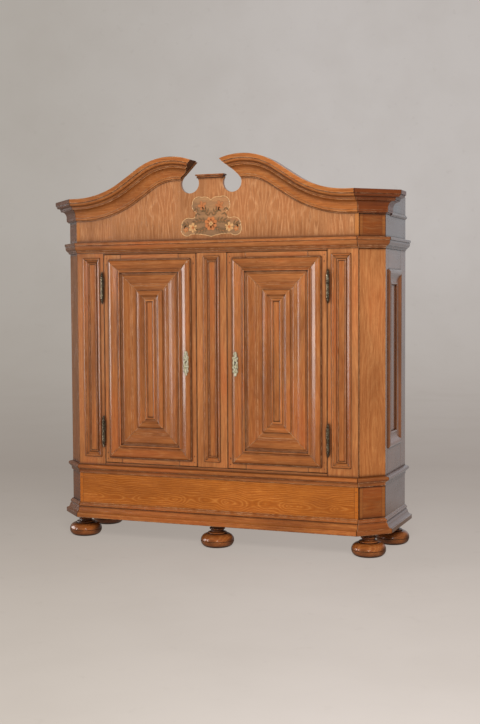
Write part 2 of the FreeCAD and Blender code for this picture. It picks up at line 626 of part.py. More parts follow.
# ---------------------------------------------------------------- locks
lockX = doorInner + lockEdge
lockZ = keyZ - lockBelowKey
lockBack = yInner + lockDeep - lockWall
boltX, boltY, boltZ = lockX + boltEdge, yInner + boltBehind, keyZ + boltAboveKey - boltHigh / 2
boltWay = box(doorInner, boltX + boltLong + boltSlack, boltY - boltSlack, boltY + boltThick + boltSlack,
              boltZ - boltSlack, boltZ + boltHigh + boltSlack)
lockCase = box(lockX, lockX + lockLong, yInner, yInner + lockDeep, lockZ, lockZ + lockHigh)
lockCase = lockCase.cut(box(lockX + lockWall, lockX + lockLong - lockWall, yInner + lockWall, lockBack,
                            lockZ + lockWall, lockZ + lockHigh - lockWall))
guide = box(lockX + guideAcross, lockX + guideAcross + guideLong, yInner, yInner + lockDeep,
            boltZ - guideWrap, boltZ + boltHigh + guideWrap)
keyPin = Part.makeCylinder(keyPinRadius, lockDeep - keyPinClear, vec(keyX, yInner + keyPinClear, keyZ),
                           vec(0, 1, 0))
lockKeyway = keyway(keyX, keyZ, yInner, yInner + lockWall)
savePair("lock_case", lockCase.fuse(guide).cut([boltWay, lockKeyway]).fuse(keyPin).removeSplitter())
savePair("lock_bolt", box(boltX, boltX + boltLong, boltY, boltY + boltThick, boltZ, boltZ + boltHigh))

keepX = centreHalf - keepEdge
keepY = boltY + boltThick + keepClear
keepZ0, keepZ1 = boltZ - keepClear, boltZ + boltHigh + keepClear
keep = box(keepX - keepLong, keepX, yInner, keepY + keepWall, keepZ0 - keepWall, keepZ1 + keepWall)
saveBothSides("bolt_keeps", keep.cut(box(keepX - keepLong, keepX, yInner, keepY, keepZ0, keepZ1)))

# escutcheon: a pierced plate with a waisted, leafy outline
plateShape = sized([((47, 6), (35, 12)), ((94, 18), (53, 27)), ((100, 35), (70, 46)), ((88, 56), (59, 65)),
                    ((100, 73), (47, 81)), ((65, 89), (0, 100))], plateHalfWide, plateHigh)
plateZ = keyZ - plateBelowKey - plateHigh / 2
plateHalf = outlineFace((0, 0), plateShape, lambda x, z: vec(x, crestY - plateThick, plateZ + z))
plateHalf = plateHalf.extrude(vec(0, plateThick, 0))
plate = plateHalf.fuse(mirrored(plateHalf)).removeSplitter().translated(vec(keyX, 0, 0))
savePair("escutcheon", plate.cut(keyCut))
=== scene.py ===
import json
import math
import random
from collections import Counter

import bmesh
import bpy
import numpy as np
from mathutils import Matrix, Vector

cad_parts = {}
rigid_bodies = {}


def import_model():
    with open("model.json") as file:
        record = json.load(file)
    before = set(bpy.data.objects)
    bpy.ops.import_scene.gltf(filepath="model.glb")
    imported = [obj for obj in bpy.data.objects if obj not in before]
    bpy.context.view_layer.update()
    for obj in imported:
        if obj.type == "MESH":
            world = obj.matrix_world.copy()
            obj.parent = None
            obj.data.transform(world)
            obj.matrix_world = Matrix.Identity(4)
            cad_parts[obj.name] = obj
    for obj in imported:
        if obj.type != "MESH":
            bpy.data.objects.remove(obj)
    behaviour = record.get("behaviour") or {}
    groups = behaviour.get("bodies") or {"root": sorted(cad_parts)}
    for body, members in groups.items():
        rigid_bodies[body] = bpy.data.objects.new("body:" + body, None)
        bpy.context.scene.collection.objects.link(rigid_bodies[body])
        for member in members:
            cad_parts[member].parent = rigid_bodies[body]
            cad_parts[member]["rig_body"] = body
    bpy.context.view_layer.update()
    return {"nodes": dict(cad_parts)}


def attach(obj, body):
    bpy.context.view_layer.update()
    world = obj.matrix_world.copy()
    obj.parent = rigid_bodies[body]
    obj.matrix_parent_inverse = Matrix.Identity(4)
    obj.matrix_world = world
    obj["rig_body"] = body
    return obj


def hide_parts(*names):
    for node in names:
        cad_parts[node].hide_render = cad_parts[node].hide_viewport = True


# a two-door oak kas: dressed boards, mouldings, veneer, turned feet, brass and iron

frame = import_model()
nodes = frame["nodes"]
bodyOf = {name: node["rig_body"] for name, node in nodes.items()}
slotOf = {name: node.data.materials[0].name for name, node in nodes.items()}
print("frame loaded:", len(nodes), "nodes")


# shader maths: a wire carries one socket, a bench builds one material

class Wire:
    def __init__(self, bench, socket):
        self.bench = bench
        self.socket = socket

    def maths(self, operation, *others):
        return self.bench.maths(operation, self, *others)

    def __add__(self, other):
        return self.maths("ADD", other)

    def __sub__(self, other):
        return self.maths("SUBTRACT", other)

    def __mul__(self, other):
        return self.maths("MULTIPLY", other)

    def __truediv__(self, other):
        return self.maths("DIVIDE", other)

    def __rsub__(self, other):
        return self.bench.maths("SUBTRACT", other, self)

    __radd__ = __add__
    __rmul__ = __mul__


class Tree:
    # any node: its type, its settings (set first), its sockets' values or links, and the output wanted
    def put(self, kind, settings=None, sockets=None, out=0):
        node = self.tree.nodes.new(kind)
        for name, value in (settings or {}).items():
            if name == "stops":
                while len(node.color_ramp.elements) < len(value):
                    node.color_ramp.elements.new(0.5)
                for element, (place, colour) in zip(node.color_ramp.elements, value):
                    element.position = place
                    element.color = colour
            else:
                setattr(node, name, value)
        for key, value in (sockets or {}).items():
            if isinstance(value, Wire):
                self.tree.links.new(value.socket, node.inputs[key])
            else:
                node.inputs[key].default_value = value
        return None if out is None else Wire(self, node.outputs[out])

    def maths(self, operation, *values):
        return self.put("ShaderNodeMath", {"operation": operation}, dict(enumerate(values)))

    # a value moved from the range low..high to 0..1, held at the ends
    def step(self, value, low, high):
        return self.put("ShaderNodeMapRange", {"clamp": True},
                        {"Value": value, "From Min": low, "From Max": high})

    def blend(self, factor, first, second, way="MIX"):
        return self.put("ShaderNodeMix", {"data_type": "RGBA", "blend_type": way, "clamp_factor": True},
                        {0: factor, 6: first, 7: second}, 2)

    def vector(self, x, y, z):
        return self.put("ShaderNodeCombineXYZ", None, {0: x, 1: y, 2: z})

    def stretched(self, vector, scale):
        return self.put("ShaderNodeVectorMath", {"operation": "MULTIPLY"}, {0: vector, 1: scale})

    def noise(self, vector, scale, detail, roughness):
        return self.put("ShaderNodeTexNoise", {"noise_dimensions": "3D"},
                        {"Vector": vector, "Scale": scale, "Detail": detail, "Roughness": roughness})

    def parts(self, vector):
        node = self.put("ShaderNodeSeparateXYZ", None, {0: vector}).socket.node
        return [Wire(self, socket) for socket in node.outputs]

    def attribute(self, name, out="Fac"):
        return self.put("ShaderNodeAttribute", {"attribute_name": name}, None, out)

    # the object's own coordinates
    def spot(self):
        return self.put("ShaderNodeTexCoord", None, None, 3)

    # how open a place is: 1 on a plain face, less in a corner
    def nook(self, samples, distance):
        return self.put("ShaderNodeAmbientOcclusion", {"samples": samples}, {"Distance": distance}, 1)

    def bump(self, height, distance, below=None):
        sockets = {"Height": height, "Distance": distance, "Strength": 1.0}
        if below is not None:
            sockets["Normal"] = below
        return self.put("ShaderNodeBump", None, sockets)


class Bench(Tree):
    def __init__(self, name):
        self.material = bpy.data.materials.new(name)
        self.material.use_nodes = True
        self.tree = self.material.node_tree
        self.tree.nodes.clear()

    # the finished surface; what varies is linked, constants are set on the sockets
    def finish(self, shader):
        self.put("ShaderNodeOutputMaterial", {"target": "ALL"}, {"Surface": shader}, None)
        return self.material

    def surface(self, **sockets):
        named = {name.replace("_", " "): value for name, value in sockets.items()}
        return self.finish(self.put("ShaderNodeBsdfPrincipled", None, named))


def rgb(red, green, blue):
    def linear(c):
        c = c / 255
        return c / 12.92 if c <= 0.04045 else ((c + 0.055) / 1.055) ** 2.4
    return (linear(red), linear(green), linear(blue), 1.0)


# wood: the grain attribute runs along, across and through each board, in metres

woodFinish = {
    "light": rgb(200, 136, 82), "middle": rgb(172, 106, 60), "dark": rgb(108, 54, 22), "deep": rgb(36, 17, 8),
    "line": rgb(224, 164, 104), "ruddy": rgb(174, 88, 42), "red": 0.5, "rim": 0.4,
    "rubbedGlint": rgb(232, 182, 138), "ringEvery": 0.0105, "pith": 0.12, "taper": 0.02, "figure": 0.10,
    "figureEvery": 1.5, "sway": 2.0, "lines": 0.22, "streak": 0.8, "patch": 0.6, "boardTone": 0.5,
    "leafWide": 0.0, "leafBase": 0.0, "riseMost": 9.0, "lip": "", "lipColour": rgb(176, 110, 52),
    "coatIor": 1.8,
    "gloss": 0.24, "coat": 0.15, "coatGloss": 0.14, "specular": 0.5, "wear": 0.35,
    "dirt": 0.95, "wave": 0.00022, "tool": 0.00012, "glow": 0.5, "shade": 0.55,
}


def makeWood(name, **changes):
    look = {**woodFinish, **changes}
    bench = Bench(name)
    place = bench.attribute("place", "Vector")
    placeAlong, placeAcross, _ = bench.parts(place)
    reachAlong, reachAcross, _ = bench.parts(bench.attribute("reach", "Vector"))
    shifted = bench.put("ShaderNodeVectorMath", {"operation": "ADD"},
                        {0: place, 1: bench.attribute("shift", "Vector")})
    along, across, through = bench.parts(shifted)
    edgeAlong = reachAlong - placeAlong.maths("ABSOLUTE")
    edgeAcross = reachAcross - placeAcross.maths("ABSOLUTE")
    tone = bench.attribute("tone")
    end = bench.attribute("end")
    if look["leafWide"]:    # veneer leaves, each turned over against the last
        drift = bench.noise(bench.vector(across * 3.1, along * 0.4, 0.7), 1.0, 1.0, 0.5) - 0.5
        fold = (across / look["leafWide"] + drift * 3.0).maths("PINGPONG", 1.0)
        plain = bench.step(bench.noise(bench.vector(across * 2.6, 0.5, 0.5), 1.0, 1.0, 0.5), 0.50, 0.58)
        across = (fold - 0.5) * look["leafWide"] + plain * 0.20

    # noise stretched along the grain
    def grain(lengthwise, sideways, detail, roughness):
        spot = bench.vector(along * lengthwise, across * sideways, through * sideways)
        return bench.noise(spot, 1.0, detail, roughness)

    # growth rings cut by the board's face, wandering slowly along it
    slow = grain(look["figureEvery"], 2.6, 2.0, 0.5) - 0.5
    sway = grain(9.0, 30.0, 2.0, 0.5) - 0.5
    rise = ((along + look["leafBase"]) * look["taper"]).maths("MINIMUM", look["riseMost"])
    depth = through + rise + look["pith"] + slow * look["figure"]
    radius = (across * across + depth * depth).maths("SQRT")
    ring = (radius * (2.0 / look["ringEvery"]) + sway * look["sway"]).maths("PINGPONG", 1.0)
    line = bench.step(ring, 0.58, 0.95)
    late = bench.step(ring, 0.45, 0.05)

    streak = grain(1.3, 95.0, 4.0, 0.62)
    fleck = grain(15.0, 190.0, 2.0, 0.6)
    fibre = grain(14.0, 620.0, 3.0, 0.6)
    pore = grain(45.0, 1300.0, 1.0, 0.5)
    pores = bench.step(pore, 0.60, 0.70) * bench.step(ring, 0.35, 0.8)
    patch = grain(1.6, 4.5, 3.0, 0.55)

    colour = bench.blend(bench.step(streak, 0.34, 0.68) * look["streak"] + (1.0 - look["streak"]) * 0.5,
                         look["middle"], look["light"])
    colour = bench.blend(late * (look["lines"] * 0.55), colour, look["dark"])
    colour = bench.blend(line * look["lines"], colour, look["line"])
    colour = bench.blend(bench.step(fleck, 0.55, 0.72) * 0.32, colour, look["line"])
    colour = bench.blend(bench.step(fleck, 0.46, 0.30) * 0.32, colour, look["dark"])
    colour = bench.blend(bench.step(patch, 0.58, 0.34) * (look["patch"] * 0.8), colour, look["dark"])
    colour = bench.blend(bench.step(patch, 0.50, 0.72) * look["red"], colour, look["ruddy"])
    colour = bench.blend(bench.step(fibre, 0.60, 0.35) * 0.35, colour, look["dark"])
    if look["lip"]:    # a strip of plainer veneer along each end
        lipEdge = edgeAcross if look["lip"] == "across" else edgeAlong
        lip = bench.step(lipEdge, 0.0225, 0.0215)
        seam = bench.step((lipEdge - 0.022).maths("ABSOLUTE"), 0.0016, 0.0006)
        colour = bench.blend(lip * bench.step(streak, 0.2, 0.6), colour, look["lipColour"])
        colour = bench.blend(seam * 0.6, colour, look["deep"])
    colour = bench.blend(pores * 0.5, colour, look["deep"])
    # darker along the long edges: dark joints, and painted shade in the gaps beside them
    colour = bench.blend(bench.step(edgeAcross, 0.0055, 0.0010) * look["rim"], colour, look["deep"])
    colour = bench.blend(tone * (0.4 * look["boardTone"]), colour, look["dark"])
    mitre = bench.step(edgeAlong, 0.0046, 0.0008) * 0.75
    colour = bench.blend((end * 0.75).maths("MAXIMUM", mitre), colour, look["deep"])

    # the colour grows more orange toward the floor
    height = bench.parts(bench.spot())[2]
    colour = bench.blend(bench.step(height, 1.1, 0.15) * look["glow"], colour, rgb(255, 232, 176), "MULTIPLY")

    # soiling and painted shade in the hollows; rubbing and painted highlights on the rounded arrises
    hollow = bench.nook(8, 0.017)
    # the hollows darkened toward the deep colour: part soiling, part painted shade
    grimeAndShade = bench.step(hollow, 0.96, 0.55) * look["dirt"]
    colour = bench.blend(grimeAndShade, colour, look["deep"])
    # painted shade under overhangs and in broad recesses
    wide = bench.nook(6, 0.16)
    colour = bench.blend(bench.step(wide, 0.90, 0.42) * look["shade"], colour, look["dark"])
    # rounded arrises lightened: part rubbing, part painted highlight
    rounded = bench.put("ShaderNodeBevel", {"samples": 4}, {"Radius": 0.0035})
    flat = bench.put("ShaderNodeNewGeometry", None, None, 1)
    facing = bench.put("ShaderNodeVectorMath", {"operation": "DOT_PRODUCT"}, {0: rounded, 1: flat}, 1)
    ragged = grain(30.0, 30.0, 3.0, 0.6)
    rubAndGlint = bench.step(facing, 0.995, 0.90) * bench.step(ragged, 0.38, 0.62) * bench.step(hollow, 0.6, 0.9)
    rubAndGlint = rubAndGlint * bench.step(edgeAlong, 0.004, 0.012)
    colour = bench.blend(rubAndGlint * look["wear"], colour, look["rubbedGlint"])

    smear = grain(6.0, 18.0, 4.0, 0.6)
    rough = look["gloss"] + (smear - 0.5) * 0.30 + grimeAndShade * 0.25 + end * 0.2
    waves = grain(7.0, 22.0, 2.0, 0.5)
    tool = grain(55.0, 130.0, 2.0, 0.6)
    normal = bench.bump(waves, look["wave"] * 3.0)
    normal = bench.bump(tool, look["tool"] * 3.0, normal)
    normal = bench.bump(fibre * 0.6 - pores * 0.7, 0.00010, normal)
    sheen = bench.step(tone, 3.0, 3.4) * (0.85 - look["coat"]) + look["coat"]    # the sides kept their polish
    return bench.surface(Base_Color=colour, Roughness=rough, Normal=normal, Coat_Weight=(1.0 - grimeAndShade) * sheen,
                         Coat_Roughness=look["coatGloss"], Coat_IOR=look["coatIor"], IOR=1.5,
                         Specular_IOR_Level=look["specular"])


woods = {
    "oak_frame": makeWood("oak_frame_wood", rim=0.65),
    "oak_post": makeWood("oak_post_wood", light=rgb(196, 134, 82), middle=rgb(170, 106, 60), specular=0.2,
                         coat=0.1),
    "oak_moulding": makeWood("oak_moulding_wood", light=rgb(190, 122, 66), middle=rgb(158, 90, 44),
                             dark=rgb(92, 44, 16), wear=0.85, lines=0.15),
    "crown_moulding": makeWood("crown_moulding_wood", light=rgb(204, 130, 66), middle=rgb(172, 98, 44),
                               dark=rgb(92, 44, 16), wear=0.85, lines=0.15, shade=0.4, dirt=1.0),
    "oak_panel": makeWood("oak_panel_wood", light=rgb(194, 124, 70), middle=rgb(164, 96, 52)),
    "dark_moulding": makeWood("dark_moulding_wood", light=rgb(158, 82, 26), middle=rgb(124, 56, 14),
                              dark=rgb(76, 34, 14), line=rgb(170, 96, 44), lines=0.15),
    "veneer": makeWood("veneer_wood", light=rgb(186, 128, 82), middle=rgb(162, 104, 62),
                       dark=rgb(108, 62, 32), line=rgb(222, 170, 122), shade=0.95, pith=0.0, taper=0.5,
                       figure=0.03, figureEvery=3.0, riseMost=0.06, sway=4.5, lines=0.30, leafWide=0.12,
                       leafBase=0.21, boardTone=0.0, red=0.15, rim=0.0, patch=0.5, streak=0.55,
                       lip="across"),
    "plinth_veneer": makeWood("plinth_veneer_wood", light=rgb(186, 108, 32), middle=rgb(162, 90, 22),
                              dark=rgb(120, 60, 12), line=rgb(220, 150, 76), lipColour=rgb(176, 100, 30),
                              pith=0.0, taper=0.0, figure=0.30, figureEvery=2.3, lines=0.5, red=0.2,
                              boardTone=0.0, patch=0.6, streak=0.6, lip="along"),
    "frieze_ends_veneer": makeWood("frieze_ends_veneer_wood", light=rgb(182, 98, 30),
                                   middle=rgb(150, 74, 16), dark=rgb(84, 44, 22), lines=0.2, lip="along"),
    "plinth_ends_veneer": makeWood("plinth_ends_veneer_wood", light=rgb(190, 104, 28),
                                   middle=rgb(160, 80, 14), dark=rgb(88, 46, 20), lines=0.2, lip="along"),
    "oak_sides": makeWood("oak_sides_wood", light=rgb(158, 100, 54), middle=rgb(136, 80, 40),
                          dark=rgb(92, 50, 26), lines=0.15, boardTone=0.25),
    "inside_wood": makeWood("inside_wood_dry", light=rgb(176, 140, 100), middle=rgb(154, 116, 80),
                            dark=rgb(112, 80, 52), gloss=0.7, coat=0.0, wear=0.2, red=0.0, rim=0.3),
    "inlay_wood": makeWood("inlay_wood_ground", light=rgb(186, 138, 92), middle=rgb(160, 114, 76),
                           dark=rgb(112, 86, 64), patch=1.0, lines=0.1, boardTone=0.0),
    "turned_oak": makeWood("turned_oak_wood", light=rgb(200, 124, 64), middle=rgb(164, 92, 42),
                           dark=rgb(70, 34, 18), coatGloss=0.12, lines=0.3, wave=0.0001),
}
finishOf = {name: slot for name, slot in slotOf.items() if slot in woods}
finishOf.update({"plinth_board": "plinth_veneer", "frieze_ends": "frieze_ends_veneer",
                 "plinth_ends": "plinth_ends_veneer", "corner_posts": "oak_post",
                 "left_crown": "crown_moulding", "right_crown": "crown_moulding",
                 "left_crown_corner": "dark_moulding", "right_crown_corner": "dark_moulding"})


def makeMetal(name, body, stain, bright, rough, metallic):
    bench = Bench(name)
    place = bench.spot()
    patch = bench.noise(place, 60.0, 4.0, 0.6)
    speck = bench.noise(place, 420.0, 3.0, 0.65)
    chased = bench.noise(place, 150.0, 2.0, 0.5)
    # hollows darkened: part tarnish, part painted shade
    hollow = bench.nook(6, 0.01)
    grimeAndShade = bench.step(hollow, 0.85, 0.35)
    colour = bench.blend(bench.step(patch, 0.35, 0.65), body, stain)
    colour = bench.blend(bench.step(speck, 0.50, 0.70) * 0.6, colour, bright)
    colour = bench.blend(bench.step(chased, 0.52, 0.40) * 0.8, colour, rgb(64, 56, 34))
    colour = bench.blend(grimeAndShade * 0.8, colour, rgb(34, 26, 18))
    roughness = rough + (patch - 0.5) * 0.3 + grimeAndShade * 0.3
    normal = bench.bump(speck, 0.0002, bench.bump(chased, 0.0012))
    return bench.surface(Base_Color=colour, Metallic=metallic * (1.0 - grimeAndShade * 0.6), Roughness=roughness,
                         Normal=normal)


metals = {
    "hinge_iron": makeMetal("hinge_dark_brass", rgb(136, 122, 96), rgb(70, 56, 40), rgb(238, 232, 212),
                            0.24, 0.85),
    "lock_iron": makeMetal("lock_worn_iron", rgb(84, 78, 72), rgb(66, 52, 44), rgb(140, 134, 126), 0.5, 0.85),
    "escutcheon_brass": makeMetal("escutcheon_brass_worn", rgb(226, 220, 192), rgb(178, 166, 122),
                                  rgb(255, 253, 242), 0.22, 0.35),
}
print("materials mixed:", len(woods) + len(metals))


# boards: each solid of a wood node becomes a merged, eased board with its own grain

def solidsOf(name):
    mesh = nodes[name].data
    places = [tuple(round(c * 1e5) for c in v.co) for v in mesh.vertices]
    solids, waiting, current = [], Counter(), []
    for face in mesh.polygons:
        corners = [places[i] for i in face.vertices]
        current.append(corners)
        for here, there in zip(corners, corners[1:] + corners[:1]):
            if here == there:
                continue
            if waiting[(there, here)]:
                waiting[(there, here)] -= 1
                if not waiting[(there, here)]:
                    del waiting[(there, here)]
            else:
                waiting[(here, there)] += 1
                del waiting[(there, here)]
        if not waiting:
            solids.append(current)
            current = []
    return solids


grainWays = [Vector((1, 0, 0)), Vector((0, 1, 0)), Vector((0, 0, 1)), Vector((1, 1, 0)).normalized(),
             Vector((1, -1, 0)).normalized()]


def boardMesh(solid, way, level, offset, tone):
    work = bmesh.new()
    made = {}
    for corners in solid:
        if len(set(corners)) < 3:
            continue
        ring = []
        for key in corners:
            if key not in made:
                made[key] = work.verts.new([c / 1e5 for c in key])
            ring.append(made[key])
        try:
            work.faces.new(ring)
        except ValueError:
            pass
    bmesh.ops.dissolve_limit(work, angle_limit=math.radians(0.6), verts=work.verts, edges=work.edges)
    work.normal_update()
    places = np.array([v.co for v in work.verts])
    low, high = places.min(0), places.max(0)
    middle = Vector((low + high) / 2)
    if way is None:    # the longest span, which for level grain isn't the upright one
        spans = [np.ptp(places @ np.array(candidate)) for candidate in grainWays]
        spans[2] *= 0.0 if level else 1.0
        spans[3] *= 0.99
        spans[4] *= 0.99
        way = grainWays[int(np.argmax(spans))]
    sides = [c for c in grainWays if abs(c.dot(way)) < 0.01]
    thin = min(sides, key=lambda c: np.ptp(places @ np.array(c)))
    wide = way.cross(thin).normalized()
    half = np.ptp(places @ np.array(way)) / 2
    squeeze = min(boardSettings["openJoint"], half / 4) / half
    for v in work.verts:    # every joint across the grain stands open by a hair
        v.co -= way * ((v.co - middle).dot(way) * squeeze)
    placed, reach, shift = (work.verts.layers.float_vector.new(key) for key in ("place", "reach", "shift"))
    toned = work.verts.layers.float.new("tone")
    halves = [np.ptp(places @ np.array(axis)) / 2 for axis in (way, wide, thin)]
    if abs(way.x * way.y) > 0.1:    # short canted lengths took a darker stain; the sides are made darker still
        tone = boardSettings["cantTone"]
    elif abs(way.y) > 0.9 or abs(thin.x) > 0.9:
        tone = boardSettings["sideTone"]
    for v in work.verts:
        fromMiddle = v.co - middle
        v[placed] = [fromMiddle.dot(axis) for axis in (way, wide, thin)]
        v[reach] = halves
        v[shift] = offset
        v[toned] = tone
    ends = work.faces.layers.float.new("end")
    for f in work.faces:
        sawn = abs(f.normal.y) < 0.05 and f.normal.z < 0.1 and abs(f.normal.x) > 0.5 and abs(way.x) > 0.9
        f[ends] = 1.0 if sawn else max(0.0, min(1.0, (abs(f.normal.dot(way)) - 0.75) * 5))
        f.smooth = True
    mesh = bpy.data.meshes.new("board")
    work.to_mesh(mesh)
    work.free()
    return mesh


boardSettings = {
    "seed": 31, "ease": 0.0009, "sharpFrom": 32.0, "openJoint": 0.0011, "cantTone": 2.6, "sideTone": 4.2,
    "grainWay": {"frieze_board": 2, "frieze_inlay": 0, "plinth_board": 0},
    "levelGrain": ["frieze_ends", "plinth_ends"],
    "noOffset": ["frieze_board", "plinth_board", "frieze_inlay"],
}
luck = random.Random(boardSettings["seed"])


def dress(name):
    meshes = []
    for solid in solidsOf(name):
        still = name in boardSettings["noOffset"]
        offset = Vector((luck.uniform(-4, 4), 0 if still else luck.uniform(-0.09, 0.09),
                         luck.uniform(-0.03, 0.03)))
        way = boardSettings["grainWay"].get(name)
        level = name in boardSettings["levelGrain"]
        meshes.append(boardMesh(solid, None if way is None else grainWays[way], level, offset, luck.random()))
    work = bmesh.new()
    for mesh in meshes:
        work.from_mesh(mesh)
        bpy.data.meshes.remove(mesh)
    mesh = bpy.data.meshes.new(name + "_dressed")
    work.to_mesh(mesh)
    work.free()
    piece = bpy.data.objects.new(name + "_dressed", mesh)
    bpy.context.scene.collection.objects.link(piece)
    mesh.materials.append(woods[finishOf[name]])
    mesh.set_sharp_from_angle(angle=math.radians(boardSettings["sharpFrom"]))
    if slotOf[name] != "turned_oak":
        ease = piece.modifiers.new("ease", "BEVEL")
        ease.width = boardSettings["ease"]
        ease.segments = 2
        ease.limit_method = "ANGLE"
        ease.angle_limit = math.radians(boardSettings["sharpFrom"])
        ease.harden_normals = True
    weigh = piece.modifiers.new("weigh", "WEIGHTED_NORMAL")
    weigh.keep_sharp = True
    weigh.weight = 100
    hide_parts(name)
    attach(piece, bodyOf[name])


for name in sorted(nodes):
    if name in finishOf:
        dress(name)
    else:
        nodes[name].material_slots[0].material = metals[slotOf[name]]
print("boards dressed")


# small repeated work: inlaid petals and leaves, pegs and nails, light stringing round the cartouche

class Loom(Tree):
    def __init__(self, name, inputs):
        self.tree = bpy.data.node_groups.new(name, "GeometryNodeTree")
        self.tree.is_modifier = True
        self.ids = {}
        for label, kind in [("Geometry", "NodeSocketGeometry")] + inputs:
            made = self.tree.interface.new_socket(label, in_out="INPUT", socket_type=kind)
            self.ids[label] = made.identifier
        self.tree.interface.new_socket("Geometry", in_out="OUTPUT", socket_type="NodeSocketGeometry")
        source = self.put("NodeGroupInput").socket.node
        self.inputs = {label: Wire(self, source.outputs[label]) for label in self.ids}

    def field(self, name):
        return self.put("GeometryNodeInputNamedAttribute", {"data_type": "FLOAT"}, {"Name": name})

    def finish(self, geometry):
        whole = self.put("GeometryNodeRealizeInstances", None, {0: geometry})
        stained = self.put("GeometryNodeSetMaterial", None,
                           {"Geometry": whole, "Material": self.inputs["Material"]})
        self.put("NodeGroupOutput", None, {0: stained}, None)
        return self


def petalLoom():
    loom = Loom("petalWeaveon_points", [
        ("Length", "NodeSocketFloat"), ("Width", "NodeSocketFloat"), ("Taper", "NodeSocketFloat"),
        ("Start", "NodeSocketFloat"), ("Thickness", "NodeSocketFloat"), ("Unevenness", "NodeSocketFloat"),
        ("Seed", "NodeSocketInt"), ("Material", "NodeSocketMaterial")])
    given = loom.inputs
    disc = loom.put("GeometryNodeMeshCircle", {"fill_type": "NGON"}, {"Vertices": 12, "Radius": 1.0})
    x, y, _ = loom.parts(loom.put("GeometryNodeInputPosition"))
    share = (x + 1.0) * 0.5
    outline = loom.vector((share + given["Start"]) * given["Length"],
                          y * given["Width"] * 0.5 * (1.0 - share * given["Taper"]), 0.0)
    petal = loom.put("GeometryNodeSetPosition", None, {"Geometry": disc, "Position": outline})
    petal = loom.put("GeometryNodeExtrudeMesh", {"mode": "FACES"},
                     {"Mesh": petal, "Offset Scale": given["Thickness"]})
    points = loom.put("GeometryNodeMeshToPoints", None, {"Mesh": given["Geometry"]})
    low = 1.0 - given["Unevenness"]
    high = 1.0 + given["Unevenness"]
    uneven = loom.put("FunctionNodeRandomValue", {"data_type": "FLOAT"},
                      {2: low, 3: high, "Seed": given["Seed"]}, 1)
    size = loom.field("size") * uneven
    turn = loom.vector(math.pi / 2, 0.0 - loom.field("turn"), 0.0)
    laid = loom.put("GeometryNodeInstanceOnPoints", None,
                    {"Points": points, "Instance": petal, "Rotation": turn,
                     "Scale": loom.vector(size, size, 1.0)})
    return loom.finish(laid)


def stringingLoom():
    loom = Loom("stringing_along_edges", [
        ("Radius", "NodeSocketFloat"), ("Flatness", "NodeSocketFloat"), ("Face", "NodeSocketFloat"),
        ("Material", "NodeSocketMaterial")])
    given = loom.inputs
    path = loom.put("GeometryNodeMeshToCurve", None, {"Mesh": given["Geometry"]})
    ring = loom.put("GeometryNodeCurvePrimitiveCircle", None, {"Resolution": 6, "Radius": given["Radius"]})
    cord = loom.put("GeometryNodeCurveToMesh", None, {"Curve": path, "Profile Curve": ring})
    x, y, z = loom.parts(loom.put("GeometryNodeInputPosition"))
    pressed = loom.vector(x, given["Face"] + (y - given["Face"]) * given["Flatness"], z)
    return loom.finish(loom.put("GeometryNodeSetPosition", None, {"Geometry": cord, "Position": pressed}))


def grow(name, loom, mesh, values, body):
    piece = bpy.data.objects.new(name, mesh)
    bpy.context.scene.collection.objects.link(piece)
    modifier = piece.modifiers.new("grow", "NODES")
    modifier.node_group = loom.tree
    for label, value in values.items():
        modifier[loom.ids[label]] = value
    ready = piece.evaluated_get(bpy.context.evaluated_depsgraph_get())
    piece.data = bpy.data.meshes.new_from_object(ready)
    piece.modifiers.clear()
    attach(piece, body)
    print(name, "faces:", len(piece.data.polygons))


def pointMesh(name, points):
    # each point: x, y, z, turn, size, tint
    mesh = bpy.data.meshes.new(name)
    mesh.from_pydata([point[:3] for point in points], [], [])
    for key, at in (("turn", 3), ("size", 4), ("tint", 5)):
        layer = mesh.attributes.new(key, "FLOAT", "POINT")
        layer.data.foreach_set("value", [float(point[at]) for point in points])
    return mesh


inlayTints = [(0.0, rgb(192, 116, 64)), (0.34, rgb(206, 158, 104)), (0.67, rgb(178, 112, 66)),
              (1.0, rgb(112, 86, 54))]


def makeInlay(name, stops):
    bench = Bench(name)
    place = bench.spot()
    body = bench.put("ShaderNodeValToRGB", {"stops": stops}, {"Fac": bench.attribute("tint")})
    fibre = bench.noise(bench.stretched(place, (260.0, 260.0, 40.0)), 1.0, 3.0, 0.6)
    scorch = bench.noise(place, 90.0, 2.0, 0.5)
    colour = bench.blend(bench.step(fibre, 0.40, 0.65) * 0.35, body, rgb(120, 70, 36))
    colour = bench.blend(bench.step(scorch, 0.55, 0.70) * 0.45, colour, rgb(70, 42, 24))
    return bench.surface(Base_Color=colour, Roughness=0.38 + (fibre - 0.5) * 0.3,
                         Normal=bench.bump(fibre, 0.0002), Coat_Weight=0.7, Coat_Roughness=0.16)


inlay = {
    "face": 0.0003, "thick": 0.0004, "seed": 5,
    # rosettes: middle x, height, petals, petal length, tint
    "rosettes": [(0.0, 1.806, 8, 0.034, 0.0), (0.108, 1.786, 6, 0.024, 0.34), (0.052, 1.905, 5, 0.024, 0.67),
                 (0.150, 1.776, 5, 0.014, 0.0)],
    # sprays: from, bend, to, leaves
    "sprays": [((0.028, 1.815), (0.065, 1.835), (0.100, 1.812), 4),
               ((0.012, 1.840), (0.016, 1.885), (0.050, 1.886), 4),
               ((0.022, 1.790), (0.050, 1.762), (0.086, 1.766), 4),
               ((0.086, 1.905), (0.095, 1.880), (0.078, 1.850), 2),
               ((0.128, 1.800), (0.150, 1.812), (0.163, 1.796), 3)],
    "pathSteps": 8, "leaf": 0.024, "leafLean": 0.75, "hearts": 6,
}


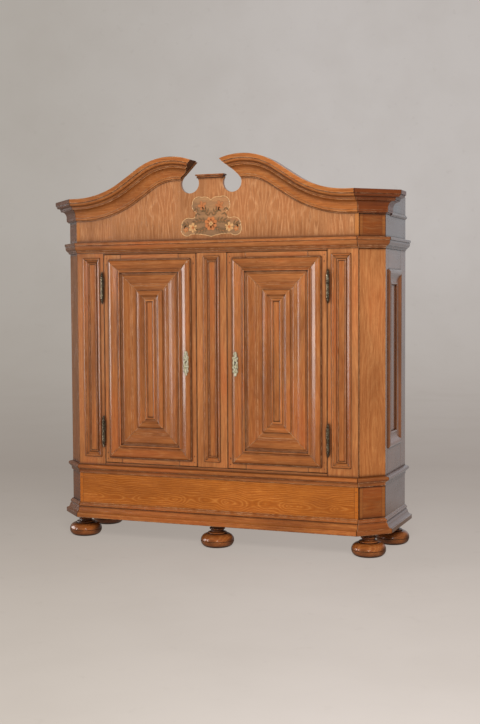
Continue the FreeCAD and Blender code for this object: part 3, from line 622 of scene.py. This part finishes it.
def makeMotif():
    front = min(v.co.y for v in nodes["frieze_inlay"].data.vertices)
    laid = front - inlay["face"]
    steps = inlay["pathSteps"]
    petals, leaves, stems, joins = [], [], [], []
    for side in (1, -1):
        for x, z, count, length, tint in inlay["rosettes"]:
            if side < 0 and x == 0.0:
                continue
            for i in range(count):
                petals.append((side * x, laid, z, 2 * math.pi * (i + 0.5) / count, length, tint))
            for i in range(inlay["hearts"]):
                petals.append((side * x, laid - inlay["thick"] * 0.5, z, 2 * math.pi * i / inlay["hearts"],
                               length * 0.35, 0.34 - tint))
        for start, bend, finish, count in inlay["sprays"]:
            path = []
            for i in range(steps + 1):
                t = i / steps
                path.append([(1 - t) ** 2 * a + 2 * t * (1 - t) * b + t * t * c
                             for a, b, c in zip(start, bend, finish)])
            first = len(stems)
            stems += [(side * x, laid, z) for x, z in path]
            joins += [(first + i, first + i + 1) for i in range(steps)]
            for k in range(2 * count):
                i = min(steps - 1, int((k // 2 + 0.6) * steps / count))
                (x0, z0), (x1, z1) = path[i], path[i + 1]
                heading = math.atan2(z1 - z0, x1 - x0) + (inlay["leafLean"] if k % 2 else -inlay["leafLean"])
                turn = heading if side > 0 else math.pi - heading
                leaves.append((side * x0, laid, z0, turn, inlay["leaf"], 1.0))
    stain = makeInlay("inlaid_veneers", inlayTints)
    shared = {"Thickness": inlay["thick"], "Unevenness": 0.08, "Seed": inlay["seed"], "Material": stain}
    grow("inlay_petals", petalWeave, pointMesh("inlay_petals", petals),
         {"Length": 1.0, "Width": 0.62, "Taper": -0.25, "Start": 0.12, **shared}, "cupboard")
    grow("inlay_leaves", petalWeave, pointMesh("inlay_leaves", leaves),
         {"Length": 1.0, "Width": 0.42, "Taper": 0.6, "Start": 0.0, **shared}, "cupboard")
    mesh = bpy.data.meshes.new("inlay_stems")
    mesh.from_pydata(stems, joins, [])
    pale = makeInlay("pale_stringing", [(0.0, rgb(236, 188, 132)), (1.0, rgb(220, 168, 112))])
    grow("inlay_stems", stringing, mesh,
         {"Radius": 0.0011, "Flatness": 0.25, "Face": laid, "Material": stain}, "cupboard")

    # the cartouche's own edge, followed by a pale line
    source = nodes["frieze_inlay"].data
    shared = Counter()
    spots = {}
    for face in source.polygons:
        if face.normal.y < -0.9:
            keys = [tuple(round(c * 1e5) for c in source.vertices[i].co) for i in face.vertices]
            for key, i in zip(keys, face.vertices):
                spots[key] = source.vertices[i].co.copy()
            for here, there in zip(keys, keys[1:] + keys[:1]):
                shared[frozenset((here, there))] += 1
    numbers = {key: i for i, key in enumerate(spots)}
    edges = [tuple(numbers[key] for key in edge) for edge, uses in shared.items()
             if uses == 1 and len(edge) == 2]
    heights = [co.z for co in spots.values()]
    middle = (min(heights) + max(heights)) / 2
    inset = [(co.x * 0.99, laid, middle + (co.z - middle) * 0.985) for co in spots.values()]
    mesh = bpy.data.meshes.new("inlay_edge")
    mesh.from_pydata(inset, edges, [])
    grow("inlay_edge", stringing, mesh, {"Radius": 0.0016, "Flatness": 0.15, "Face": laid, "Material": pale},
         "cupboard")


petalWeave = petalLoom()
stringing = stringingLoom()
makeMotif()

pegs = {
    "wide": 0.0065, "thick": 0.0005, "inFromEdge": 0.015, "spacing": (0.022, 0.056),
    "stiles": (0.69, 0.82, 0.06, -0.06, -0.69, -0.82), "stileHeights": (0.433, 1.668),
    "nails": [(0.826, 0.25), (0.826, 0.36), (-0.826, 0.25), (-0.826, 0.36)],
}


def makePegs():
    dark = makeInlay("peg_end_grain", [(0.0, rgb(86, 46, 24)), (1.0, rgb(60, 32, 18))])
    heads = {"left_door": [], "right_door": [], "cupboard": []}
    for body, node in (("left_door", "left_door_frame"), ("right_door", "right_door_frame")):
        spots = np.array([v.co for v in nodes[node].data.vertices])
        low, high = spots.min(0), spots.max(0)
        for x in (low[0] + pegs["inFromEdge"], high[0] - pegs["inFromEdge"]):
            for rise in pegs["spacing"]:
                for z in (low[2] + rise, high[2] - rise):
                    heads[body].append((x, low[1], z, luck.uniform(0, 3), 1.0, 0.0))
    face = min(v.co.y for v in nodes["centre_stile"].data.vertices)
    for x in pegs["stiles"]:
        for z in pegs["stileHeights"]:
            heads["cupboard"].append((x, face, z, luck.uniform(0, 3), 1.0, 0.0))
    face = min(v.co.y for v in nodes["plinth_board"].data.vertices)
    for x, z in pegs["nails"]:
        heads["cupboard"].append((x, face, z, 0.0, 0.8, 0.0))
    for body, points in heads.items():
        grow(body + "_pegs", petalWeave, pointMesh(body + "_pegs", points),
             {"Length": pegs["wide"], "Width": pegs["wide"], "Taper": 0.0, "Start": -0.5,
              "Thickness": pegs["thick"], "Unevenness": 0.2, "Seed": 9, "Material": dark}, body)


makePegs()
print("inlay and pegs laid")


# room, lamps and camera

cameraPlace = {"at": (2.5340, -6.2926, 1.4009), "yaw": 21.367, "down": 3.137, "roll": -0.309,
               "focal": 1184.65, "frameWide": 480.0, "sensor": 36.0}
room = {
    "bendFrom": 17.0, "curve": 3.0, "high": 10.0, "half": 16.0, "near": -6.0, "shine": 0.74, "glow": 1.18,
    # painted light and shade on the paper: from the near floor, past the darkest band, up the backdrop
    "tones": [(0.0, rgb(194, 185, 176)), (0.2, rgb(182, 173, 164)), (0.375, rgb(156, 147, 139)),
              (0.52, rgb(171, 164, 156)), (0.7, rgb(178, 172, 165)), (1.0, rgb(177, 171, 164))],
    "lowest": -0.38, "highest": 0.25, "rightSide": (1.22, 1.23, 1.29, 1.0), "bendSteps": 24,
    # painted reflections: what the varnish mirrors in place of the paper
    "rightInSheen": (0.47, 0.52, 0.56, 1.0), "leftInSheen": (0.22, 0.175, 0.14, 1.0),
    "nearInSheen": (0.20, 0.17, 0.14, 1.0),
}


def makeRoom():
    # floor and backdrop in one sweep, square to the camera
    profile = [(room["near"], 0.0), (room["bendFrom"] - 0.3, 0.0)]
    for i in range(room["bendSteps"] + 1):
        angle = math.pi / 2 * i / room["bendSteps"]
        profile.append((room["bendFrom"] + room["curve"] * math.sin(angle),
                        room["curve"] * (1 - math.cos(angle))))
    profile.append((room["bendFrom"] + room["curve"], room["high"]))
    work = bmesh.new()
    rows = [[work.verts.new((across, y, z)) for y, z in profile] for across in (-room["half"], room["half"])]
    for i in range(len(profile) - 1):
        face = work.faces.new((rows[0][i], rows[1][i], rows[1][i + 1], rows[0][i + 1]))
        face.smooth = True
    turn = Matrix.Rotation(math.radians(cameraPlace["yaw"]), 4, "Z")
    bmesh.ops.transform(work, matrix=Matrix.Translation((*cameraPlace["at"][:2], 0)) @ turn, verts=work.verts)
    mesh = bpy.data.meshes.new("studio_sweep")
    work.to_mesh(mesh)
    work.free()
    sweep = bpy.data.objects.new("studio_sweep", mesh)
    bpy.context.scene.collection.objects.link(sweep)

    bench = Bench("studio_paper")
    place = bench.spot()
    settled = bench.put("ShaderNodeMapping", {"vector_type": "TEXTURE"},
                        {"Vector": place, "Location": (*cameraPlace["at"][:2], 0),
                         "Rotation": (0, 0, math.radians(cameraPlace["yaw"]))})
    across, away, height = bench.parts(settled)
    distance = away.maths("MAXIMUM", 1.0)
    slope = (height - cameraPlace["at"][2]) / distance
    # the paper's painted light and shade, set by how far above or below the camera's eye line a spot lies
    paper = bench.put("ShaderNodeValToRGB", {"stops": room["tones"]},
                      {"Fac": bench.step(slope, room["lowest"], room["highest"])})
    # painted light: the paper lighter toward the right
    toRight = bench.step(across / distance, -0.17, 0.06) * (bench.step(slope, -0.16, 0.04) * 0.5 + 0.5)
    paper = bench.blend(toRight, paper, bench.blend(1.0, paper, room["rightSide"], "MULTIPLY"))
    # painted reflections: glossy rays see these set colours in place of the paper
    mirrored = bench.put("ShaderNodeLightPath", None, None, "Is Glossy Ray")
    near = bench.step(away, 7.9, 7.2)
    paper = bench.blend(mirrored * near, paper, room["nearInSheen"])
    paper = bench.blend(mirrored * (1.0 - near) * 0.85, paper,
                        bench.blend(toRight, room["leftInSheen"], room["rightInSheen"]))
    cloud = bench.noise(place, 1.3, 4.0, 0.55)
    scuff = bench.noise(place, 9.0, 4.0, 0.6)
    paper = bench.blend(bench.step(cloud, 0.42, 0.72) * 0.10, paper, rgb(150, 140, 130))
    paper = bench.blend(bench.step(scuff, 0.62, 0.72) * 0.06, paper, rgb(120, 110, 100))
    # painted light: the paper mostly glows with its own tones, which lightens the object's shadow on it
    lit = bench.put("ShaderNodeBsdfPrincipled", None,
                    {"Base Color": paper, "Roughness": 0.9 + cloud * 0.05, "Specular IOR Level": 0.1})
    shown = bench.put("ShaderNodeEmission", None, {"Color": paper, "Strength": room["glow"]})
    mixed = bench.put("ShaderNodeMixShader", None, {0: room["shine"], 1: lit, 2: shown})
    mesh.materials.append(bench.finish(mixed))


makeRoom()

lamps = {
    "front_fill": {"at": (3.0, -6.6, 4.2), "to": (0.0, 0.0, 1.1), "size": (3.4, 2.0), "power": 650.0,
                   "colour": (1.0, 0.985, 0.97), "diffuse": True, "glossy": False},
    "front_lamp": {"at": (2.9, -6.9, 2.3), "to": (0.0, 0.0, 1.1), "size": (0.7, 0.7), "power": 34.0,
                   "colour": (1.0, 0.99, 0.98), "diffuse": True, "glossy": True},
    "left_screen": {"at": (-4.4, -3.9, 1.5), "to": (0.0, -0.2, 1.1), "size": (0.55, 2.4), "power": 44.0,
                    "colour": (1.0, 0.95, 0.93), "diffuse": False, "glossy": True},
    "left_window": {"at": (-5.5, -0.9, 1.5), "to": (0.0, -0.9, 1.1), "size": (3.5, 2.4), "power": 168.0,
                    "colour": (1.0, 0.96, 0.94), "diffuse": False, "glossy": True},
}


def aim(thing, place, target):
    thing.location = place
    thing.rotation_euler = (Vector(target) - Vector(place)).to_track_quat("-Z", "Y").to_euler()


for name, lamp in lamps.items():
    light = bpy.data.lights.new(name, "AREA")
    light.shape = "RECTANGLE"
    light.size, light.size_y = lamp["size"]
    light.energy = lamp["power"]
    light.color = lamp["colour"]
    holder = bpy.data.objects.new(name, light)
    bpy.context.scene.collection.objects.link(holder)
    holder.visible_camera = False
    holder.visible_glossy = lamp["glossy"]
    holder.visible_diffuse = lamp["diffuse"]
    aim(holder, lamp["at"], lamp["to"])

air = {"colour": (0.46, 0.44, 0.425, 1.0), "strength": 0.35, "seen": (0.42, 0.38, 0.35, 1.0)}


def makeAir():
    # beyond the sweep the camera sees the wall's own grey
    world = bpy.data.worlds.new("studio_air")
    world.use_nodes = True
    bpy.context.scene.world = world
    bench = Tree()
    bench.tree = world.node_tree
    bench.tree.nodes.clear()
    lit = bench.put("ShaderNodeBackground", None, {"Color": air["colour"], "Strength": air["strength"]})
    seen = bench.put("ShaderNodeBackground", None, {"Color": air["seen"], "Strength": 1.0})
    direct = bench.put("ShaderNodeLightPath", None, None, "Is Camera Ray")
    mixed = bench.put("ShaderNodeMixShader", None, {0: direct, 1: lit, 2: seen})
    bench.put("ShaderNodeOutputWorld", None, {"Surface": mixed}, None)


makeAir()


def makeCamera():
    yaw, down, roll = (math.radians(cameraPlace[k]) for k in ("yaw", "down", "roll"))
    ahead = Vector((-math.sin(yaw) * math.cos(down), math.cos(yaw) * math.cos(down), -math.sin(down)))
    right = Vector((math.cos(yaw), math.sin(yaw), 0))
    up = right.cross(ahead)
    rolledRight = math.cos(roll) * right + math.sin(roll) * up
    rolledUp = -math.sin(roll) * right + math.cos(roll) * up
    lens = bpy.data.cameras.new("studio_camera")
    lens.sensor_fit = "HORIZONTAL"
    lens.sensor_width = cameraPlace["sensor"]
    lens.lens = cameraPlace["focal"] / cameraPlace["frameWide"] * cameraPlace["sensor"]
    lens.clip_end = 60
    camera = bpy.data.objects.new("studio_camera", lens)
    bpy.context.scene.collection.objects.link(camera)
    turned = Matrix((rolledRight, rolledUp, -ahead)).transposed().to_4x4()
    camera.matrix_world = Matrix.Translation(cameraPlace["at"]) @ turned
    bpy.context.scene.camera = camera


makeCamera()
bpy.context.scene.view_settings.view_transform = "Standard"
print("room, lamps and camera placed")
